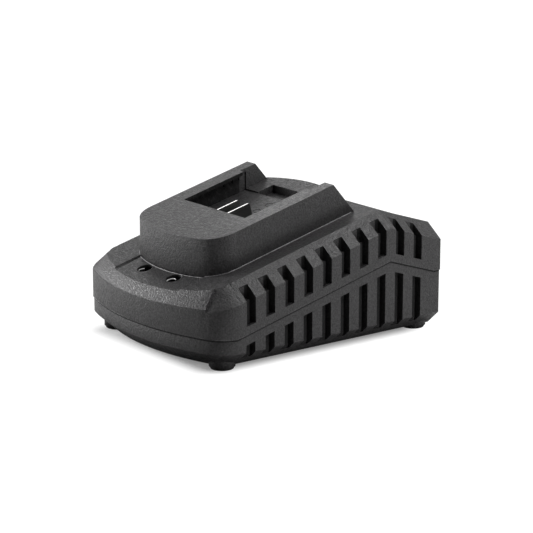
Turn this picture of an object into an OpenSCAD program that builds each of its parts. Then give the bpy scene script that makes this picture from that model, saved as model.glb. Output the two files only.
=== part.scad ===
// Bench charger for a slide-on tool battery.
// A two-part case with a wedge-shaped roof carries a raised dock; the battery slides in from the rear,
// along the roof's slope, onto two upright blades. The mains supply inside stands on one circuit board.
// Millimetres. Origin: centre of the footprint, on the table. +Y points to the rear, +Z up.

/* [Case] */
// Overall width of the case
body_w = 121; // [112:1:136]
// Overall length of the case, from the bowed front to the rear wall
body_l = 154; // [150:1:170]
// Height of the flat underside above the table
underside_z = 2.2; // [1.6:0.1:4]
// Height of the side walls' top edge, halfway along the case
wall_top_z = 48.9; // [46:0.1:56]
// How far the sloping shoulder reaches in from the side wall
shoulder_in = 10.9; // [8:0.1:13]
// How far the shoulder climbs above the side wall
shoulder_up = 7.9; // [5:0.1:10]
// How far the roof's flat sits below the shoulders' upper edges
roof_dish = 0.8; // [0.2:0.1:1.5]
// Slope of the roof in front of the ridge
roof_angle = 14.2; // [11:0.1:15]
// Slope of the roof behind the ridge
rear_angle = 18; // [12:0.5:22]
// Distance from the rear wall to the ridge
ridge_from_rear = 34.5; // [30:0.5:37]
// Radius of the bowed front in plan
front_bow_r = 142; // [110:1:200]
// Radius of the front's upright corners
corner_r = 16; // [13:0.5:20]
// Radius of the rear's upright corners
rear_corner_r = 1; // [0.6:0.2:3]
// Thickness of the shells' walls
wall_t = 2.5; // [2:0.1:3]
// How far the slanted foot of the walls reaches in
base_in = 9; // [6:0.5:10]
// How far the slanted foot of the walls climbs
base_up = 8; // [6:0.5:10]
// How far the upper shell stands out over the lower one at the seam
seam_step = 0.5; // [0.3:0.1:0.8]

/* [Front band] */
// Height of the textured band's lower edge where the band meets the corners
band_z = 33.6; // [31:0.1:35]
// Slope of the band's lower edge
band_angle = 8; // [6:0.5:10]
// Steepness of the band, from the horizontal
band_pitch = 42; // [36:1:55]

/* [Seam] */
// Height of the seam along the front
seam_front_z = 17.5; // [16:0.5:20]
// Height of the seam's slope halfway along the case
seam_mid_z = 31.6; // [30:0.1:33]
// Height of the seam along the rear
seam_rear_z = 32.6; // [29:0.5:34]
// Height of the tongue that locates the upper shell
tongue_h = 2; // [1.5:0.1:3]
// Thickness of the tongue
tongue_t = 1; // [0.8:0.1:1.2]

/* [Vents] */
// Number of slots in each row
slot_count = 10; // [6:1:10]
// Distance from slot to slot
slot_pitch = 12; // [10:0.5:12]
// Width of a slot
slot_w = 5.6; // [5:0.1:7]
// Width of the step inside a slot's front edge
slot_step_w = 3.4; // [2:0.1:3.6]
// Depth of that step below the wall
slot_step_d = 2.4; // [1:0.1:3]
// Depth of the slots
slot_d = 7; // [5:0.1:8]
// Thickness of the walls between a slot and the pockets beside it
rib_t = 1.6; // [1.4:0.1:1.8]
// Distance from the case's front to the first slot
slot_start = 26.8; // [26:0.1:30]
// Distance from the seam up to the upper slots
slot_rise = 4.4; // [4:0.1:6]
// Distance from the seam down to the lower slots
slot_drop = 5.3; // [5:0.1:7]
// Height of the lower slots' sill
slot_sill_z = 6.6; // [6:0.1:8]

/* [Feet] */
// Diameter of the rubber feet
foot_d = 12; // [10:0.5:13]
// How far the rubber feet stand out of their pads
foot_h = 1.4; // [0.8:0.1:1.4]
// Distance from the side wall to a foot's centre
foot_side_in = 13.5; // [12:0.5:15]
// Distance from the front to the front feet's centres
foot_front_in = 21.4; // [20:0.1:24]
// Distance from the rear wall to the rear feet's centres
foot_rear_in = 7.2; // [7.2:0.1:16]

/* [Dock] */
// Width of the dock
dock_w = 73.8; // [72:0.1:75]
// Distance from the case's front to the dock's nose
dock_setback = 20; // [19:0.5:22]
// Height of the dock's top above the roof's flat
dock_h = 19.2; // [18:0.1:22]
// Radius of the dock's bowed nose in plan
dock_bow_r = 95; // [80:1:120]
// Radius of the dock's upright corners
dock_corner_r = 14; // [10:0.5:16]
// Thickness of the dock's walls
dock_wall = 2.5; // [2:0.1:3]
// Distance from the dock's nose to the pocket
pocket_setback = 31.1; // [30:0.1:34]
// Depth of the pocket's floor below the dock's top
pocket_d = 12; // [11.5:0.1:13]
// Length of the pocket, from its front wall to the step of the deck
pocket_l = 42.9; // [40:0.1:45]
// Width between the two lips
lip_gap_w = 53.2; // [50:0.1:55]
// Width between the grooves' walls
groove_w = 60.8; // [59:0.1:62]
// Thickness of the lips
lip_t = 1.9; // [1.5:0.1:2.2]
// Length of the lips
lip_l = 39.4; // [36:0.1:41]
// Rounding of the lips' rear ends
lip_end_r = 1.6; // [0.5:0.1:2.5]
// How far the rails' inner faces stand in behind the lips
rail_step = 0.7; // [0.2:0.1:1.2]
// Height of the deck behind the pocket above the pocket's floor
deck_h = 0.7; // [0.4:0.1:1]
// Radius of the deck's bowed rear edge
deck_bow_r = 82; // [70:1:95]
// Distance from the deck's step to its rear edge, along the centre line
deck_l = 21.7; // [20:0.1:23]
// Width of the latch recess
latch_w = 38; // [30:1:42]
// Length of the latch recess
latch_l = 10.2; // [8:0.1:12]
// Depth of the latch recess below the deck
latch_d = 4.2; // [3:0.1:4.4]
// Distance from the pocket's front wall to the rails' upper rear ends
rail_l = 49.1; // [47:0.1:52]
// Lean of the rails' rear ends, from the vertical
rail_lean = 41; // [35:1:42]
// Thickness of the dock's floors
floor_t = 2.2; // [1.8:0.1:2.4]

/* [Contacts] */
// Distance between the blades' middle planes
blade_pitch = 9.3; // [8:0.1:11]
// Thickness of a blade
blade_t = 0.8; // [0.6:0.1:1]
// Height of a blade
blade_h = 8.2; // [6:0.1:8.6]
// Length of a blade in the pocket
blade_l = 22; // [15:0.5:26]
// Width of the terminal block
block_w = 20; // [18:1:24]
// Depth of the terminal block, front to rear
block_l = 9; // [8:0.5:9.5]
// Diameter of the battery leads
lead_d = 2.4; // [1.8:0.1:3]

/* [Indicators] */
// Diameter of the sight holes
sight_d = 8.3; // [7:0.1:9]
// Distance between the sight holes
sight_pitch = 25.6; // [22:0.1:28]
// Distance from the dock's nose to the sight holes' centres
sight_from_dock = 3.6; // [0:0.1:4]
// Width of the sunk panel round the sight holes
panel_w = 56.9; // [54:0.1:60]
// Depth of the sunk panel
panel_d = 0.8; // [0.4:0.1:1.2]
// Diameter of the indicator lamps
led_d = 5; // [3:0.5:5.5]

/* [Circuit board] */
// Width of the main board
board_w = 68; // [66:1:70]
// Length of the main board
board_l = 128; // [124:1:129]
// Thickness of the boards
board_t = 1.6; // [1:0.1:2]
// Height of the posts under the main board
board_post_h = 5.3; // [4:0.1:6.5]

/* [Mains inlet] */
// Width of the inlet's body
inlet_w = 22; // [21:0.5:26]
// Height of the inlet's body
inlet_h = 15; // [13:0.5:17]
// Distance between the inlet's pins
inlet_pin_pitch = 8.6; // [8:0.1:9]
// Diameter of the inlet's pins
inlet_pin_d = 2.4; // [2:0.1:2.6]

/* [Fasteners and clearances] */
// Diameter of the case screws' threads
case_screw_d = 3.5; // [3:0.1:4]
// Diameter of the small screws' threads
small_screw_d = 2.6; // [2:0.1:3]
// Clearance between parts that fit in each other
fit_gap = 0.2; // [0.1:0.05:0.3]

/* [Hidden] */
$fn = 96;

// Finishes
case_color = "#2b2b2d";
dock_color = "#303032";
board_color = "#1f5a38";
steel_color = "#b9bbbe";
part_black = "#1c1c1e";

// Reach of cutting shapes past the faces that they cut
over = 1;
big = 200;
// Overlap and step of cutting shapes that would otherwise meet along a tangent line
seam_lap = 0.4;
lap_step = 0.05;

// Plan of the case
half_w = body_w / 2;
front_y = -body_l / 2;
rear_y = body_l / 2;
ridge_y = rear_y - ridge_from_rear;
roof_tan = tan(roof_angle);
rear_tan = tan(rear_angle);

// Heights at mid-length of the surfaces that follow the roof
roof_z = wall_top_z + shoulder_up - roof_dish;
dock_top_z = roof_z + dock_h;
floor_z = dock_top_z - pocket_d;
deck_z = floor_z + deck_h;
panel_z = roof_z - panel_d;
roof_under_z = roof_z - wall_t / cos(roof_angle);

// Side walls: pocketed by the slots and closed behind them
side_t = slot_d + 2;
cavity_half_w = half_w - side_t;
floor_top_z = underside_z + wall_t;

// Plan of the dock
dock_y = front_y + dock_setback;
pocket_y = dock_y + pocket_setback;
step_y = pocket_y + pocket_l;
rail_y = pocket_y + rail_l;
deck_y = step_y + deck_l;

// The dock's opening in the roof, and the skirt that drops into it
hatch_half_w = 24;
hatch_front = dock_y + 11;
hatch_rear = step_y - 3;
skirt_t = 1.6;
skirt_drop = 3;
dock_screw_x = dock_w / 2 - 7.4;
dock_screw_y = [dock_y + 17, step_y + 5];
dock_screw_l = 9;

// Case screws: places, and the height at which the two shells' posts meet
case_screw_x = cavity_half_w - 11.5;
case_screw_front = [case_screw_x, front_y + 39, seam_front_z - 1.5];
case_screw_rear = [case_screw_x, rear_y - 27, seam_rear_z - 2.6];
post_r = 4.2;
head_r = 3.4;
head_h = 2;
recess_h = 3;
case_screw_reach = 10;

// Feet
foot_x = half_w - foot_side_in;
foot_y = [front_y + foot_front_in, rear_y - foot_rear_in];
pad_r = foot_d / 2 + 0.7;
foot_sunk = 0.8;

// Main board
board_z = floor_top_z + board_post_h;
board_top_z = board_z + board_t;
board_rear = rear_y - wall_t - 4.5;
board_front = board_rear - board_l;
board_screw_x = board_w / 2 - 4;
board_screw_y = [board_front + 4, board_rear - 4];

// Indicators, laid out on the slope of the roof
sight_y = dock_y - sight_from_dock;
led_board_drop = 13;
led_board_l = 11;
led_collar_d = led_d + 0.8;
led_post_r = 2.6;
// The board's posts stand just outside the lamps' collars
led_screw_x = (sight_pitch + led_collar_d) / 2 + 0.2 + led_post_r;
led_board_w = 2 * (led_screw_x + 3.5);
led_tip_drop = 3;

// Terminal block, behind the pocket's front wall
block_rear = pocket_y - dock_wall;
block_front = block_rear - block_l;
blade_tail = block_l + dock_wall + 3;
ear_x = block_w / 2 + 3.2;
ear_r = 3;
ear_t = 2.4;
block_base_z = floor_z - 1;
block_top_z = dock_top_z - 2.6 - 1.4;

function slope_z(level, y) = level + roof_tan * min(y, ridge_y) - rear_tan * max(y - ridge_y, 0);

// ---------------------------------------------------------------- plan outlines

// Centre of the round that joins a bowed front to the straight side
function round_x(hw, rr) = hw - rr;
function round_y(hw, fy, br, rr) = fy + br - sqrt(pow(br - rr, 2) - pow(hw - rr, 2));

// Outline with a bowed front, straight sides and a straight rear, drawn in by inset
module bowed_outline(hw, fy, ry, br, rr, inset) {
  cy = round_y(hw, fy, br, rr);
  join_x = (br - inset) * round_x(hw, rr) / (br - rr);
  intersection() {
    translate([0, fy + br]) circle(r = br - inset, $fn = 180);
    translate([-join_x, fy]) square([2 * join_x, ry - inset - fy]);
  }
  for (s = [-1, 1]) translate([s * round_x(hw, rr), cy]) circle(r = rr - inset);
  translate([-(hw - inset), cy]) square([2 * (hw - inset), ry - inset - cy]);
}

module case_outline(inset) {
  rr = max(rear_corner_r - inset, 0.5);
  difference() {
    bowed_outline(half_w, front_y, rear_y, front_bow_r, corner_r, inset);
    for (s = [-1, 1]) translate([s * (half_w - inset - rr), rear_y - inset - rr]) difference() {
      translate([s > 0 ? 0 : -rr - over, 0]) square([rr + over, rr + over]);
      circle(r = rr);
    }
  }
}

module dock_outline(inset, ry = rear_y) {
  bowed_outline(dock_w / 2, dock_y, ry + inset, dock_bow_r, dock_corner_r, inset);
}

// ---------------------------------------------------------------- slanted spaces

// Everything between two surfaces that follow the front roof slope, at the given heights at mid-length
module slope_slab(low, high) {
  translate([0, 0, low]) rotate([roof_angle, 0, 0])
    translate([-big / 2, -big, 0]) cube([big, 2 * big, (high - low) * cos(roof_angle)]);
}

// A frame on the front slope: Y runs up the slope, Z stands square to it
module on_slope(y, level) {
  translate([0, y, level + roof_tan * y]) rotate([roof_angle, 0, 0]) children();
}

// Prism across the case whose side view is a polygon of [y, z] points
module side_prism(points, x0 = -big / 2, x1 = big / 2) {
  translate([x0, 0, 0]) rotate([90, 0, 90]) linear_extrude(height = x1 - x0) polygon(points);
}

// Space above or below a line that follows the whole roof, at the given height at mid-length
module roof_zone(level, above) {
  end_z = above ? 2 * big : -big;
  side_prism([
    [-big, slope_z(level, -big)], [ridge_y, slope_z(level, ridge_y)],
    [big, slope_z(level, big)], [big, end_z], [-big, end_z]
  ]);
}

// Height of the seam, at its ends level and between them along the roof's slopes
seam_peak_z = slope_z(seam_mid_z, ridge_y);
seam_front_y = (seam_front_z - seam_mid_z) / roof_tan;
seam_back_y = ridge_y + (seam_peak_z - seam_rear_z) / rear_tan;

module below_seam(lift = 0) {
  side_prism([
    [-big, -big], [-big, seam_front_z + lift], [seam_front_y, seam_front_z + lift],
    [ridge_y, seam_peak_z + lift], [seam_back_y, seam_rear_z + lift], [big, seam_rear_z + lift], [big, -big]
  ]);
}

// ---------------------------------------------------------------- outer form of the case

// Roof slope with its two shoulders, run far along the slope
module roof_prism(angle, inset) {
  c = cos(angle);
  out = 8;
  edge = half_w - shoulder_in;
  flat = edge - 12;
  low = (roof_dish - (shoulder_in + out) * shoulder_up / shoulder_in) * c;
  translate([0, ridge_y, slope_z(roof_z, ridge_y)]) rotate([angle, 0, 0]) rotate([90, 0, 0])
    linear_extrude(height = 2 * big, center = true) offset(delta = -inset) polygon([
      [-flat, 0], [flat, 0], [edge, roof_dish * c], [half_w + out, low], [half_w + out, -big],
      [-half_w - out, -big], [-half_w - out, low], [-edge, roof_dish * c]
    ]);
}

corner_x = round_x(half_w, corner_r);
corner_y = round_y(half_w, front_y, front_bow_r, corner_r);
bow_y = front_y + front_bow_r;
// Direction from the bow's centre to the point where bow and corner meet
meet_x = corner_x / (front_bow_r - corner_r);
meet_y = (corner_y - bow_y) / (front_bow_r - corner_r);

// Upright wedge that holds the bowed front, ending just short of the two corners
module front_wedge(z0, z1) {
  reach = front_bow_r * 1.25;
  side_x = reach * meet_x - seam_lap / 4;
  translate([0, 0, z0]) linear_extrude(height = z1 - z0)
    polygon([[0, bow_y], [-side_x, bow_y + reach * meet_y], [side_x, bow_y + reach * meet_y]]);
}

// Upright wedge that holds one rounded corner
module corner_wedge(s, z0, z1) {
  reach = 2 * corner_r;
  translate([s * corner_x, corner_y, z0]) linear_extrude(height = z1 - z0)
    polygon([[0, 0], [s * reach * meet_x, reach * meet_y], [s * reach, -reach], [s * reach, 0]]);
}

// Cone about an upright axis, its radius r at height z, growing by slope for each millimetre up
module ramp_cone(r, z, slope, z0, z1) {
  translate([0, 0, z0]) cylinder(r1 = r + (z0 - z) * slope, r2 = r + (z1 - z) * slope, h = z1 - z0, $fn = 180);
}

// What lies outside the slanted foot of the walls
module base_cuts(inset) {
  slope = base_in / base_up;
  shift = inset * sqrt(pow(base_in, 2) + pow(base_up, 2)) / base_up;
  edge_z = underside_z + base_up;
  z0 = underside_z + inset - 0.4;
  z1 = edge_z + (over + shift) / slope;
  difference() {
    translate([-half_w - over, front_y - over, z0]) cube([body_w + 2 * over, corner_y + 4 - front_y, z1 - z0]);
    translate([0, bow_y, 0]) ramp_cone(front_bow_r - shift, edge_z, slope, z0 - over, z1 + over);
  }
  for (s = [-1, 1]) difference() {
    translate([-s * seam_lap, seam_lap, 0]) corner_wedge(s, z0, z1);
    translate([s * corner_x, corner_y, 0]) ramp_cone(corner_r - shift - lap_step, edge_z, slope, z0 - 0.3, z1 + over);
  }
  for (s = [-1, 1]) translate([0, corner_y + big, 0]) rotate([90, 0, 0]) linear_extrude(height = big) polygon([
    [s * (half_w - shift - (edge_z - z0) * slope), z0], [s * (half_w + over), z0], [s * (half_w + over), z1]
  ]);
}

// What lies in front of the textured band
module band_cut(inset) {
  pitch = 1 / tan(band_pitch);
  r = front_bow_r / cos(band_angle) - inset / sin(band_pitch);
  low_y = front_y + 17;
  difference() {
    front_wedge(seam_front_z, 2 * wall_top_z);
    translate([0, bow_y, band_z + tan(band_angle) * (bow_y - low_y)]) rotate([band_angle, 0, 0])
      ramp_cone(r, 0, -pitch, -wall_top_z, wall_top_z);
  }
}

// What lies outside the shoulder where it turns round a front corner
module corner_cut(s, inset) {
  c = cos(roof_angle);
  slope = shoulder_in / (shoulder_up * c);
  pitch = atan(1 / slope);
  tip = (corner_r - lap_step - inset / sin(pitch)) / slope;
  foot = 12;
  difference() {
    translate([-s * seam_lap, seam_lap, 0])
      corner_wedge(s, slope_z(wall_top_z, corner_y) - foot + 3, 2 * wall_top_z);
    translate([s * corner_x, corner_y, slope_z(wall_top_z, corner_y)]) rotate([roof_angle, 0, 0])
      translate([0, 0, -foot]) cylinder(r1 = (tip + foot) * slope, r2 = 0, h = tip + foot, $fn = 180);
  }
}

// The case as one block, drawn in by inset on every side
module case_form(inset) {
  difference() {
    intersection() {
      translate([0, 0, underside_z + inset]) linear_extrude(height = big) case_outline(inset);
      roof_prism(roof_angle, inset);
      roof_prism(-rear_angle, inset);
    }
    base_cuts(inset);
    band_cut(inset);
    for (s = [-1, 1]) corner_cut(s, inset);
  }
}

// Room inside the case, with a pocket reaching out behind each bar between the slots
module cavity() {
  core = slot_pitch - slot_w - 2 * rib_t;
  intersection() {
    case_form(wall_t);
    union() {
      translate([-cavity_half_w, -big / 2, 0]) cube([2 * cavity_half_w, big, big]);
      translate([-big / 2, -big / 2, 0]) cube([big, slot_y(0) - rib_t + big / 2, big]);
      translate([-big / 2, slot_y(slot_count - 1) + slot_w + rib_t, 0]) cube([big, big, big]);
      for (i = [1 : slot_count - 1]) translate([-big / 2, slot_y(i) - rib_t - core, 0]) cube([big, core, big]);
    }
  }
}

// Ring that follows the outline just inside the wall, for the tongue and its groove
module seam_ring(inset, t) {
  difference() {
    linear_extrude(height = big) case_outline(inset);
    translate([0, 0, -over]) linear_extrude(height = big + 2 * over) case_outline(inset + t);
  }
}

// ---------------------------------------------------------------- vents

function slot_y(i) = front_y + slot_start + i * slot_pitch;

// Upright prisms of all slots on both sides, between two depths and two places across a slot
module slot_prisms(d0, d1, a, b, z0) {
  for (s = [-1, 1], i = [0 : slot_count - 1])
    translate([s > 0 ? half_w - d1 : -half_w + d0, slot_y(i) + a, z0]) cube([d1 - d0, b - a, big]);
}

module slot_shape(z0) {
  slot_prisms(-over, slot_step_d, 0, slot_w, z0);
  slot_prisms(-over, slot_d, slot_step_w, slot_w, z0);
}

module upper_slots() {
  intersection() {
    slot_shape(0);
    roof_zone(seam_mid_z + slot_rise, true);
  }
  intersection() {
    slot_prisms(-over, slot_d, 0, slot_w, 0);
    roof_zone(wall_top_z - 0.8, true);
  }
  intersection() {
    slot_prisms(slot_d - over, side_t + over, slot_step_w, slot_w, 0);
    roof_zone(seam_mid_z + slot_rise, true);
    roof_zone(wall_top_z - 4, false);
  }
}

module lower_slots() {
  intersection() {
    slot_shape(slot_sill_z);
    roof_zone(seam_mid_z - slot_drop, false);
  }
  intersection() {
    slot_prisms(slot_d - over, side_t + over, slot_step_w, slot_w, floor_top_z + 4);
    roof_zone(seam_mid_z - slot_drop, false);
  }
}

// ---------------------------------------------------------------- fasteners

// Screw with its tip up: head below z = 0, thread above
module screw(d, l, hr, hh) {
  cylinder(d = d, h = l);
  translate([0, 0, -hh]) difference() {
    cylinder(r = hr, h = hh);
    for (a = [0, 90]) rotate(a) translate([-hr * 0.55, -0.35, -over]) cube([hr * 1.1, 0.7, over + hh * 0.5]);
  }
}

module at_case_screws() {
  for (s = [-1, 1], p = [case_screw_front, case_screw_rear]) translate([s * p[0], p[1], 0]) children();
}

module at_dock_screws() {
  for (s = [-1, 1], y = dock_screw_y) on_slope(y, roof_under_z) translate([s * dock_screw_x, 0, 0]) children();
}

module at_board_screws() {
  for (s = [-1, 1], y = board_screw_y) translate([s * board_screw_x, y, 0]) children();
}

module at_led_screws() {
  for (s = [-1, 1]) on_slope(sight_y, panel_z) translate([s * led_screw_x, 0, 0]) children();
}

module at_ears() {
  for (s = [-1, 1]) translate([s * ear_x, (block_front + block_rear) / 2, 0]) children();
}

module at_feet() {
  for (s = [-1, 1], y = foot_y) translate([s * foot_x, y, 0]) children();
}

// ---------------------------------------------------------------- case

module bottom_shell() {
  color(case_color) difference() {
    union() {
      difference() {
        intersection() {
          case_form(0);
          linear_extrude(height = big) case_outline(seam_step);
          below_seam();
        }
        cavity();
      }
      intersection() {
        seam_ring(seam_step + 0.6, tongue_t);
        difference() {
          below_seam(tongue_h);
          below_seam(-over);
        }
      }
      at_feet() translate([0, 0, foot_h]) cylinder(r = pad_r, h = floor_top_z + 0.6 - foot_h);
      for (s = [-1, 1], p = [case_screw_front, case_screw_rear])
        translate([s * p[0], p[1], underside_z + over]) cylinder(r = post_r, h = p[2] - underside_z - over);
      at_board_screws() translate([0, 0, floor_top_z - over]) cylinder(r = 3, h = board_post_h + over);
    }
    lower_slots();
    at_feet() cylinder(d = foot_d + fit_gap, h = foot_h + foot_sunk);
    at_case_screws() {
      cylinder(d = case_screw_d + 2 * fit_gap, h = big);
      cylinder(r = head_r + fit_gap, h = underside_z + recess_h + head_h);
    }
    at_board_screws() translate([0, 0, board_z - 4.5]) cylinder(d = small_screw_d, h = big);
    translate([-30, -20, underside_z - over]) cube([60, 38, over + 0.4]);
    inlet_window();
  }
}

module top_shell() {
  color(case_color) difference() {
    union() {
      difference() {
        case_form(0);
        cavity();
        below_seam();
        intersection() {
          seam_ring(seam_step + 0.6 - fit_gap / 2, tongue_t + fit_gap);
          below_seam(tongue_h + fit_gap);
        }
      }
      intersection() {
        for (s = [-1, 1], p = [case_screw_front, case_screw_rear])
          translate([s * p[0], p[1], p[2]]) cylinder(r = post_r, h = big);
        case_form(wall_t / 2);
      }
      at_led_screws() translate([0, 0, -led_board_drop]) cylinder(r = led_post_r, h = led_board_drop - wall_t / 2);
    }
    upper_slots();
    for (s = [-1, 1], p = [case_screw_front, case_screw_rear])
      translate([s * p[0], p[1], 0]) cylinder(d = case_screw_d, h = p[2] + case_screw_reach + 0.5);
    translate([-hatch_half_w, hatch_front, seam_front_z]) cube([2 * hatch_half_w, hatch_rear - hatch_front, big]);
    at_dock_screws() translate([0, 0, -2 * over]) cylinder(d = small_screw_d + 2 * fit_gap, h = wall_t + 4 * over);
    intersection() {
      slope_slab(panel_z, dock_top_z);
      translate([-panel_w / 2, front_y - over, 0]) cube([panel_w, dock_setback + 10, big]);
      sunk_panel_limit();
    }
    for (s = [-1, 1]) on_slope(sight_y, panel_z) translate([s * sight_pitch / 2, 0, -wall_t - over])
      cylinder(d = sight_d, h = wall_t + 3 * over);
    at_led_screws() translate([0, 0, -led_board_drop - over]) cylinder(d = small_screw_d - 0.4, h = 7 + over);
  }
}

// The sunk panel runs back only to just under the dock's nose
module sunk_panel_limit() {
  difference() {
    linear_extrude(height = big) case_outline(-over);
    linear_extrude(height = big) dock_outline(1);
  }
}

module rubber_feet() {
  color("#161617") at_feet() rotate_extrude() union() {
    square([foot_d / 2 - 0.6, foot_h + foot_sunk]);
    translate([0, 0.6]) square([foot_d / 2, foot_h + foot_sunk - 0.6]);
    translate([foot_d / 2 - 0.6, 0.6]) circle(r = 0.6);
  }
}

module case_screws() {
  color(steel_color) for (s = [-1, 1], p = [case_screw_front, case_screw_rear])
    translate([s * p[0], p[1], underside_z + recess_h + head_h])
      screw(case_screw_d, p[2] - underside_z - recess_h - head_h + case_screw_reach, head_r, head_h);
}

// ---------------------------------------------------------------- dock

// What lies behind the leaning ends of the rails
module behind_rails() {
  lean = tan(rail_lean);
  top_z = dock_top_z + roof_tan * rail_y;
  side_prism([
    [rail_y - lean * big, top_z + big], [rail_y + lean * big, top_z - big], [big, top_z - big], [big, top_z + big]
  ]);
}

module dock_block() {
  difference() {
    intersection() {
      linear_extrude(height = big) dock_outline(0);
      slope_slab(roof_z, dock_top_z);
    }
    behind_rails();
  }
}

module deck_block() {
  intersection() {
    translate([0, deck_y - deck_bow_r, 0]) cylinder(r = deck_bow_r, h = big, $fn = 180);
    translate([-groove_w / 2 - over, pocket_y, 0]) cube([groove_w + 2 * over, big, big]);
    slope_slab(roof_z, deck_z);
  }
}

// Space that the battery's foot slides through
module battery_channel() {
  open_z = dock_top_z + 2 * over;
  intersection() {
    union() {
      translate([-groove_w / 2, pocket_y, 0]) cube([groove_w, pocket_l, big]);
    }
    slope_slab(floor_z, dock_top_z - lip_t);
  }
  intersection() {
    translate([-lip_gap_w / 2, pocket_y, 0]) cube([lip_gap_w, pocket_l, big]);
    slope_slab(floor_z, open_z);
  }
  intersection() {
    linear_extrude(height = big) union() {
      translate([-groove_w / 2, pocket_y + lip_l]) square([groove_w, 1]);
      translate([-groove_w / 2 + rail_step, pocket_y + lip_l]) square([groove_w - 2 * rail_step, big]);
      for (s = [-1, 1]) difference() {
        translate([s > 0 ? lip_gap_w / 2 - over : -lip_gap_w / 2 - lip_end_r, pocket_y + lip_l - lip_end_r])
          square([lip_end_r + over, lip_end_r + 0.5]);
        translate([s * (lip_gap_w / 2 + lip_end_r), pocket_y + lip_l - lip_end_r]) circle(r = lip_end_r);
      }
    }
    slope_slab(deck_z, open_z);
  }
  groove_keys();
}

// Short upright slots high in the grooves' walls
module groove_keys() {
  for (s = [-1, 1], y = [pocket_y + 28.4, pocket_y + 34.1, pocket_y + 38.6]) on_slope(y, dock_top_z - 5.7)
    translate([s * groove_w / 2 - 1.2, 0, 0]) cube([2.4, 0.8, 2.2]);
}

// Round marks of the mould's ejectors in the pocket's floor
module ejector_marks() {
  for (y = [pocket_y + 27.5, pocket_y + 35.7]) on_slope(y, floor_z) translate([0, 0, -0.3]) difference() {
    cylinder(d = 4.4, h = 1);
    translate([0, 0, -over]) cylinder(d = 3.4, h = 3);
  }
}

module latch_recess(grow) {
  intersection() {
    translate([-latch_w / 2 - grow, step_y - grow, 0]) cube([latch_w + 2 * grow, latch_l + 2 * grow, big]);
    slope_slab(deck_z - latch_d - grow, deck_z + over);
  }
}

// Room inside the dock, open to the case
module dock_cavity() {
  intersection() {
    linear_extrude(height = big) dock_outline(dock_wall);
    slope_slab(roof_z - over, dock_top_z - dock_wall);
    translate([-big / 2, -big, 0]) cube([big, big + block_rear, big]);
  }
  difference() {
    intersection() {
      linear_extrude(height = big) dock_outline(dock_wall, step_y + latch_l + dock_wall);
      slope_slab(roof_z - over, floor_z - floor_t);
      translate([-groove_w / 2, -big, 0]) cube([groove_w, 2 * big, big]);
    }
    latch_recess(floor_t);
  }
}

module dock_bosses() {
  intersection() {
    at_dock_screws() cylinder(r = 3.4, h = big);
    dock_block();
  }
  intersection() {
    at_ears() translate([0, 0, slope_z(block_base_z, block_front) + ear_t + 1]) cylinder(r = 2.6, h = big);
    dock_block();
  }
}

// Walls that drop through the roof's opening and keep the dock in place
module skirt() {
  x = hatch_half_w - fit_gap;
  difference() {
    intersection() {
      translate([-x, hatch_front + fit_gap, 0]) cube([2 * x, hatch_rear - hatch_front - 2 * fit_gap, big]);
      union() {
        slope_slab(roof_z - skirt_drop, floor_z - over);
        intersection() {
          slope_slab(roof_z - skirt_drop, dock_top_z - over);
          translate([-big / 2, -big, 0]) cube([big, big + pocket_y - over, big]);
        }
      }
    }
    translate([-x + skirt_t, hatch_front + fit_gap + skirt_t, 0])
      cube([2 * (x - skirt_t), hatch_rear - hatch_front - 2 * (fit_gap + skirt_t), big]);
  }
}

module blade_slits() {
  for (s = [-1, 1]) on_slope(block_rear, floor_z)
    translate([s * blade_pitch / 2 - blade_t / 2 - fit_gap, -over, -fit_gap])
      cube([blade_t + 2 * fit_gap, dock_wall + 3 * over, blade_h + 2 * fit_gap]);
}

module battery_dock() {
  color(dock_color) difference() {
    union() {
      difference() {
        union() {
          dock_block();
          deck_block();
        }
        dock_cavity();
      }
      dock_bosses();
      skirt();
    }
    battery_channel();
    ejector_marks();
    latch_recess(0);
    blade_slits();
    at_dock_screws() cylinder(d = small_screw_d - 0.4, h = dock_screw_l - 1.5);
    at_ears() translate([0, 0, slope_z(block_base_z, block_front) - over]) cylinder(d = small_screw_d - 0.4, h = 12);
  }
}

module dock_screws() {
  color(steel_color) at_dock_screws() screw(small_screw_d, dock_screw_l - 2, 2.6, 1.6);
}

// ---------------------------------------------------------------- contacts

module terminal_block() {
  ear_z = slope_z(block_base_z, block_front) + 1;
  color(part_black) difference() {
    union() {
      intersection() {
        translate([-block_w / 2, block_front, 0]) cube([block_w, block_l, big]);
        slope_slab(block_base_z, block_top_z);
      }
      translate([0, 0, ear_z]) linear_extrude(height = ear_t) difference() {
        translate([-ear_x - ear_r, block_front + 1]) square([2 * (ear_x + ear_r), block_l - 2]);
      }
    }
    for (s = [-1, 1]) on_slope(block_rear, floor_z)
      translate([s * blade_pitch / 2 - blade_t / 2, -block_l * 2, 0]) cube([blade_t, block_l * 3, blade_h]);
    at_ears() translate([0, 0, ear_z - over]) cylinder(d = small_screw_d + 2 * fit_gap, h = ear_t + 2 * over);
  }
}

module terminal_screws() {
  ear_z = slope_z(block_base_z, block_front) + 1;
  color(steel_color) at_ears() translate([0, 0, ear_z]) screw(small_screw_d, 8, 2.4, 1.4);
}

module blade(s) {
  tail = blade_tail;
  r = 1.2;
  on_slope(block_rear, floor_z) translate([s * blade_pitch / 2 - blade_t / 2, 0, 0])
    rotate([90, 0, 90]) linear_extrude(height = blade_t) union() {
      translate([-tail, 0]) square([tail + dock_wall + blade_l - r, blade_h]);
      translate([0, 0]) square([dock_wall + blade_l, blade_h - r]);
      translate([dock_wall + blade_l - r, blade_h - r]) circle(r = r);
    }
}

module positive_blade() {
  color(steel_color) blade(-1);
}

module negative_blade() {
  color(steel_color) blade(1);
}

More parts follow.
